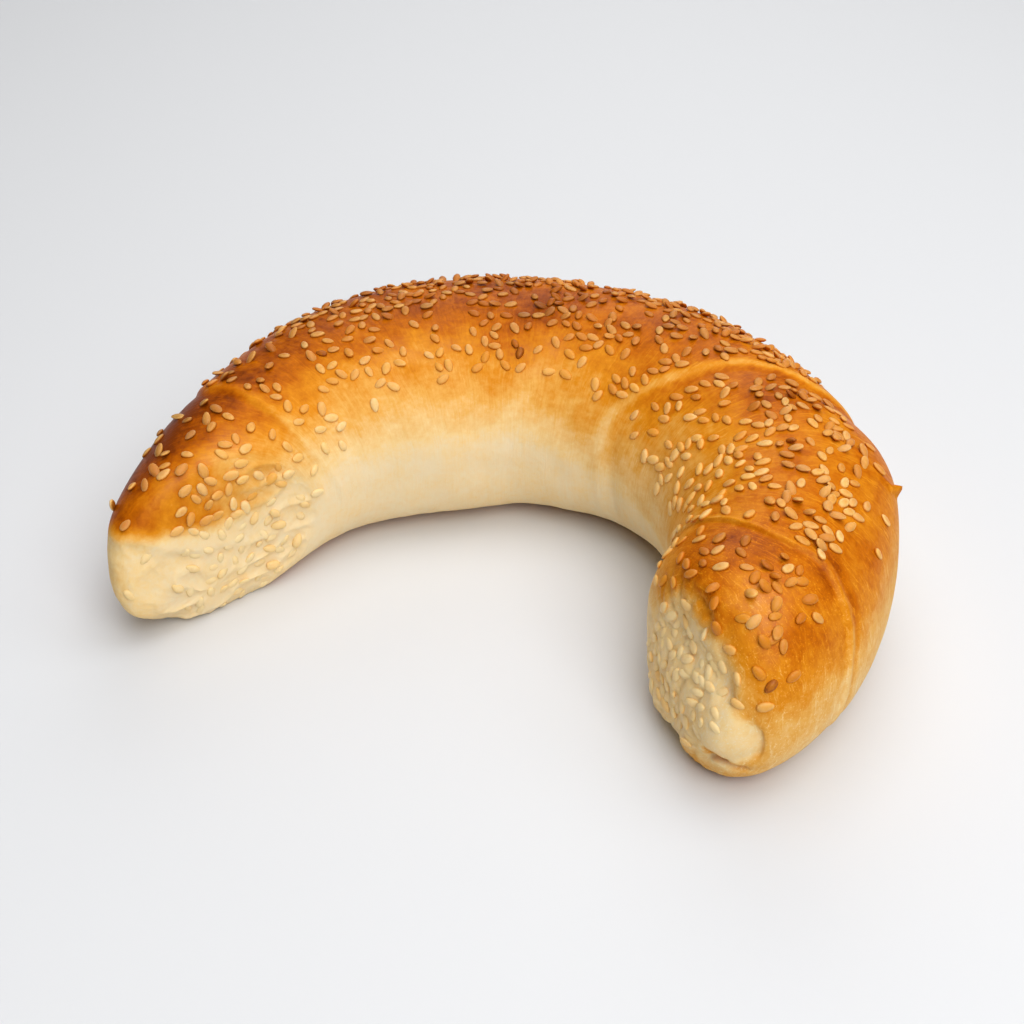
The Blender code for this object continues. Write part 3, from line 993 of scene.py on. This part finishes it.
def browning_group(look):
    """The colour of the dough at each level of browning."""
    group, start, nodes = new_group("browning", ("Level",), ("Color",), "NodeSocketColor")
    ramp = nodes.ramp(start["Level"],
                      ((0.0, look.raw), (0.15, look.cream),
                       (0.35, look.golden), (0.55, look.amber),
                       (0.75, look.brown), (0.90, look.deep),
                       (1.0, look.dark)))
    nodes.add("NodeGroupOutput", {"Color": ramp})
    return group


def shared_groups():
    """The grain and the browning, each made once for both materials."""
    groups = bpy.data.node_groups
    return (groups.get("baked_grain") or grain_group(),
            groups.get("browning")
            or browning_group(bpy.context.scene.crust_settings))


def fresh_material(name):
    material = bpy.data.materials.new(name)
    material.use_nodes = True
    shader = material.node_tree.nodes["Principled BSDF"]
    return material, Nodes(material.node_tree), shader


def crust_material(look, grain, browning):
    material, nodes, shader = fresh_material("baked_crust")
    level = nodes.attribute("bake_and_painted_light")
    arc = nodes.attribute("arc")
    turn = nodes.attribute("turn")
    specks = nodes.group(grain, {"Scale": 900.0})
    fine, coarse = specks["Fine"], specks["Coarse"]
    # stretch marks run round the roll in thin, broken, wandering lines
    wandered = nodes.total(arc, nodes.spread(coarse, 0.0005))

    def lines(along, round_, detail):
        place = nodes.add("ShaderNodeCombineXYZ",
                          {"X": nodes.times(wandered, along),
                           "Y": nodes.times(turn, round_)}).outputs[0]
        return nodes.texture(place, 1.0, detail, 0.6)

    streak = lines(1400.0, 0.05, 3.0)
    marks = nodes.times(nodes.remap(lines(2600.0, 0.07, 1.0), 0.58, 0.72),
                        nodes.remap(arc, 0.02, 0.07, 0.30, 1.0))
    dots = nodes.group(grain, {"Scale": 2600.0})["Fine"]
    dots = nodes.times(nodes.remap(dots, 0.57, 0.66), nodes.remap(arc, 0.095, 0.110, 0.20, 1.0))
    vary = nodes.total(nodes.spread(coarse, 0.06), nodes.spread(fine, 0.06),
                       nodes.spread(streak, 0.04), nodes.times(marks, -0.13),
                       nodes.times(dots, -0.16))
    browned = nodes.remap(level, 0.05, 0.45, 0.55, 1.0)
    shade = nodes.total(level, nodes.times(vary, browned), clamp=True)
    # the glaze lies in patches and is broken up by fine sparkle
    glaze = nodes.times(nodes.attribute("glaze"), nodes.remap(fine, 0.35, 0.62, 0.35, 1.0))
    rough = nodes.total(nodes.remap(level, 0.1, 0.8, 0.58, look.gloss),
                        nodes.spread(fine, 0.06))
    height = nodes.total(nodes.times(fine, 0.5), nodes.times(streak, 0.35), coarse)
    nodes.fill(shader, {
        "Base Color": nodes.group(browning, {"Level": shade})["Color"],
        "Coat Weight": glaze, "Coat Roughness": 0.34, "Roughness": rough,
        "Normal": nodes.bump(height, 0.35, 0.0004),
        "Subsurface Weight": 0.08, "Subsurface Radius": (1.0, 0.6, 0.3),
        "Subsurface Scale": 0.002, "Specular IOR Level": 0.04})
    return material


def seed_material(look, grain, browning):
    material, nodes, shader = fresh_material("sesame_seed")
    foot = nodes.attribute("foot")
    under = nodes.attribute("under")
    specks = nodes.group(grain, {"Scale": 1500.0})
    rim = nodes.remap(foot, 0.50, -0.15, 0.0, 1.0)
    # their rims are darker, partly toasted hull and partly painted contact shade where the seed
    # meets the crust; on pale dough their rims stay pale too
    rim_toast_and_shade = nodes.remap(under, 0.15, 0.70, 0.08, 0.38)
    shade = nodes.total(nodes.attribute("toast"), nodes.times(rim, rim_toast_and_shade),
                        nodes.spread(specks["Fine"], 0.07), clamp=True)
    hull = nodes.ramp(shade, ((0.0, look.pale), (0.28, look.straw),
                              (0.52, look.tan), (0.75, look.brown),
                              (0.95, look.burnt)))
    # the crust seen through the hull is darker at the rim, partly pooled glaze and partly
    # painted contact shade
    below = nodes.total(under, nodes.times(rim, 0.10), clamp=True)
    below = nodes.group(browning, {"Level": below})["Color"]
    # the hull is clearest over the middle and at the rim
    clear = nodes.total(nodes.times(rim, 0.7), nodes.remap(foot, 0.72, 1.0, 0.0, 0.40))
    veil = nodes.times(nodes.attribute("veil"), nodes.maths("SUBTRACT", 1.0, clear))
    nodes.fill(shader, {
        "Base Color": nodes.mix(veil, below, hull), "Roughness": 0.38,
        "Normal": nodes.bump(specks["Coarse"], 0.3, 0.0002),
        "Subsurface Weight": 0.10, "Subsurface Radius": (1.0, 0.6, 0.3),
        "Subsurface Scale": 0.0010, "Specular IOR Level": 0.16})
    return material


# ---- settings ------------------------------------------------------------
def colour(name, text, value):
    return FloatVectorProperty(name=name, description=text, subtype="COLOR",
                               size=3, min=0.0, max=1.0, default=value)


def metres(name, text, value):
    return FloatProperty(name=name, description=text, unit="LENGTH", default=value)


class CrustSettings(bpy.types.PropertyGroup):
    raw: colour("Raw dough", "Slack dough that has not browned", (0.87, 0.71, 0.45))
    cream: colour("Cream", "Pale crust low on the inner side", (0.88, 0.62, 0.275))
    golden: colour("Golden", "Lightly baked crust", (0.79, 0.40, 0.080))
    amber: colour("Amber", "Well baked crust", (0.69, 0.245, 0.009))
    brown: colour("Brown", "The top of the roll", (0.51, 0.127, 0.0014))
    deep: colour("Deep brown", "The darker back", (0.32, 0.063, 0.0006))
    dark: colour("Dark brown", "The darkest spots", (0.19, 0.034, 0.0005))
    gloss: FloatProperty(name="Crust roughness",
                         description="Roughness where the crust is brown",
                         default=0.38, min=0.0, max=1.0)
    columns: IntProperty(name="Columns", description="Faces round the roll",
                         default=256, min=40, max=280)


class SeedSettings(bpy.types.PropertyGroup):
    length: metres("Seed length", "Length of a middling seed", 0.0031)
    width: metres("Seed width", "Width of a middling seed", 0.0019)
    thickness: metres("Seed thickness", "Thickness of a middling seed", 0.0011)
    thickness_of_sowing: FloatProperty(
        name="Sowing", default=1.0, min=0.0, max=2.0, subtype="FACTOR",
        description="How thickly the small seeds are sown")
    pale: colour("Pale seed", "Seed on slack dough", (0.87, 0.67, 0.35))
    straw: colour("Straw seed", "Lightly toasted hull", (0.86, 0.51, 0.145))
    tan: colour("Tan seed", "Toasted hull", (0.69, 0.28, 0.027))
    brown: colour("Brown seed", "Well toasted hull", (0.42, 0.120, 0.008))
    burnt: colour("Burnt seed", "Scorched hull", (0.16, 0.030, 0.003))


class StageSettings(bpy.types.PropertyGroup):
    floor: colour("Floor", "Colour of the pale floor", (0.690, 0.697, 0.712))
    lamp: FloatProperty(name="Lamp power", unit="POWER", default=10.0,
                        description="Power of the soft lamps together")


# ---- operators -----------------------------------------------------------
class ROLL_OT_make_crust(bpy.types.Operator):
    """Make the baked dough of the roll, in place of its solid"""
    bl_idname = "roll.make_crust"
    bl_label = "Make the crust"

    def execute(self, context):
        look = context.scene.crust_settings
        rows = row_plan(FINE_ROWS)
        mesh = bmesh.new()
        bmesh.ops.create_uvsphere(mesh, u_segments=look.columns,
                                  v_segments=len(rows) - 1, radius=1.0)
        layers = {name: mesh.verts.layers.float.new(name)
                  for name in ("bake_and_painted_light", "glaze", "arc", "turn")}
        for vert in mesh.verts:
            share = math.acos(max(-1.0, min(1.0, vert.co.z))) / math.pi
            row = rows[round(share * (len(rows) - 1))]
            pole = math.hypot(vert.co.x, vert.co.y) < 1e-6
            angle = math.pi / 2 if pole else math.atan2(vert.co.y, vert.co.x)
            arc = row(angle)
            vert.co = skin(arc, angle, 0.0, True)
            vert[layers["bake_and_painted_light"]] = bake_and_painted_light(arc, angle, vert.co, across_at(arc, angle))
            vert[layers["glaze"]] = glaze(arc, angle, vert[layers["bake_and_painted_light"]], vert.co)
            vert[layers["arc"]] = arc
            vert[layers["turn"]] = degrees_round(angle)
        bmesh.ops.recalc_face_normals(mesh, faces=mesh.faces[:])
        crust = new_piece("crust", mesh, crust_material(look, *shared_groups()))
        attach(crust, "root")
        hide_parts("roll")
        return {"FINISHED"}


class ROLL_OT_make_seeds(bpy.types.Operator):
    """Scatter the sesame seeds over the crust"""
    bl_idname = "roll.make_seeds"
    bl_label = "Make the seeds"

    def execute(self, context):
        look = context.scene.seed_settings
        draw = random.Random(DRAW)
        places = sow(FIRST_SEEDS, draw, [], seed_share,
                     lambda share: FIRST_GAP / math.sqrt(max(share, 0.2)))
        for at, facing in TIP_SEEDS:
            arc, angle = at / 1000, math.radians(facing)
            places.append((skin(arc, angle), arc, angle, draw.random(),
                           draw.random(), draw.random()))
        places = sow(0, draw, places,
                     lambda arc, angle: look.thickness_of_sowing
                     * seed_density(arc, angle),
                     lambda share: GAP / math.sqrt(share))
        # none lies in the hollow under the lobe of the right end
        places = [place for place in places if place[1] < 0 or pocket_at(
            across_at(place[1], place[2]), place[0].z) < 0.05]
        places.append((None, CORNER_SEED[0] / 1000,
                       math.radians(CORNER_SEED[1]), 0.22, 0.6, 0.95))
        names = ("toast", "foot", "under", "veil")
        mesh, one = repeated(len(places), names)
        toast, foot, under, veil = (mesh.verts.layers.float[name] for name in names)
        for number, place in enumerate(places):
            arc, angle = place[1:3]
            own = random.Random(number)
            corner = number == len(places) - 1
            point = skin(arc, angle, 0.0, True)
            slack = pale_end(arc, across_at(arc, angle), point.z)
            crust = bake_and_painted_light(arc, angle, point, across_at(arc, angle))
            # about half of them stand up a little on the crest
            crest = bell(degrees_round(angle), 74, 34) * (1 - slack)
            raised = crest * (own.random() > 0.5)
            if corner:
                raised = 1.0
            lie = seed_lie(place, point, raised, slack)
            level, shown = seed_tones(arc, angle, crust, slack, own)
            if corner:
                level, shown = CORNER_TOAST, 1.0
            plump = 0.85 + 0.3 * own.random()
            own_verts = mesh.verts[number * one:(number + 1) * one]
            for vert in own_verts:
                # one end is pointed, the other blunt
                lengthwise = vert.co.z * 2
                ring = math.sqrt(max(1 - lengthwise ** 2, 0.0))
                narrow = (1 - 0.34 * max(lengthwise, 0.0) ** 1.4) * max(ring, 0.05) ** -0.22
                vert[toast] = level
                vert[under] = crust
                vert[veil] = shown
                vert[foot] = vert.co.x * 2 + 0.5 * raised
                vert.co = lie @ Vector((vert.co.z * look.length,
                                        vert.co.y * look.width * narrow,
                                        vert.co.x * look.thickness * plump
                                        * narrow))
            # none reaches below the roll's underside
            sunk = -min(vert.co.z for vert in own_verts)
            if sunk > 0:
                for vert in own_verts:
                    vert.co.z += sunk
        bmesh.ops.recalc_face_normals(mesh, faces=mesh.faces[:])
        seeds = new_piece("seeds", mesh, seed_material(look, *shared_groups()))
        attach(seeds, "root")
        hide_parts("roll")
        return {"FINISHED"}


class ROLL_OT_make_stage(bpy.types.Operator):
    """Make the pale floor, the soft light and the camera"""
    bl_idname = "roll.make_stage"
    bl_label = "Make the stage"

    def execute(self, context):
        look = context.scene.stage_settings
        scene = context.scene
        mesh = bmesh.new()
        bmesh.ops.create_grid(
            mesh, x_segments=1, y_segments=1, size=FLOOR_HALF,
            matrix=Matrix.Translation((0, 0, -FLOOR_DROP)))
        material, nodes, shader = fresh_material("pale_floor")
        nodes.fill(shader, {"Base Color": (*look.floor, 1.0),
                            "Roughness": 0.6, "Specular IOR Level": 0.2})
        floor = new_piece("floor", mesh, material)

        for name, place, aim, size, power in SOFT_LAMPS:
            lamp = bpy.data.lights.new(name, "AREA")
            lamp.energy = look.lamp * power
            lamp.shape = "DISK"
            lamp.size = size
            ahead = Vector(aim) - Vector(place)
            put_in_scene(name, lamp, place, ahead.to_track_quat("-Z", "Y").to_euler())

        world = bpy.data.worlds.new("studio")
        world.use_nodes = True
        background = world.node_tree.nodes["Background"]
        background.inputs["Color"].default_value = (1.0, 1.0, 1.0, 1.0)
        background.inputs["Strength"].default_value = SKY
        scene.world = world
        scene.view_settings.view_transform = "Standard"

        camera = bpy.data.cameras.new("camera")
        camera.lens = LENS
        camera.sensor_width = 36.0
        scene.camera = put_in_scene(
            "camera", camera, Vector(AIM) + Vector(CAMERA_FROM_AIM),
            (CAMERA_TILT, 0.0, 0.0))
        return {"FINISHED"}


class ROLL_PT_panel(bpy.types.Panel):
    """Sidebar panel of the roll"""
    bl_idname = "ROLL_PT_panel"
    bl_label = "Sesame Crescent Roll"
    bl_space_type = "VIEW_3D"
    bl_region_type = "UI"
    bl_category = "Roll"

    def draw(self, context):
        scene = context.scene
        for settings, operator in (
                (scene.crust_settings, "roll.make_crust"),
                (scene.seed_settings, "roll.make_seeds"),
                (scene.stage_settings, "roll.make_stage")):
            box = self.layout.box()
            for name in settings.__annotations__:
                box.prop(settings, name)
            box.operator(operator)


CLASSES = (CrustSettings, SeedSettings, StageSettings, ROLL_OT_make_crust,
           ROLL_OT_make_seeds, ROLL_OT_make_stage, ROLL_PT_panel)
SETTINGS = (("crust_settings", CrustSettings),
            ("seed_settings", SeedSettings),
            ("stage_settings", StageSettings))


def register():
    for cls in CLASSES:
        bpy.utils.register_class(cls)
    for name, group in SETTINGS:
        setattr(bpy.types.Scene, name, PointerProperty(type=group))


def unregister():
    for name, _ in SETTINGS:
        delattr(bpy.types.Scene, name)
    for cls in reversed(CLASSES):
        bpy.utils.unregister_class(cls)


def main():
    register()
    bpy.ops.roll.make_crust()
    bpy.ops.roll.make_seeds()
    bpy.ops.roll.make_stage()


if __name__ == "__main__":
    main()
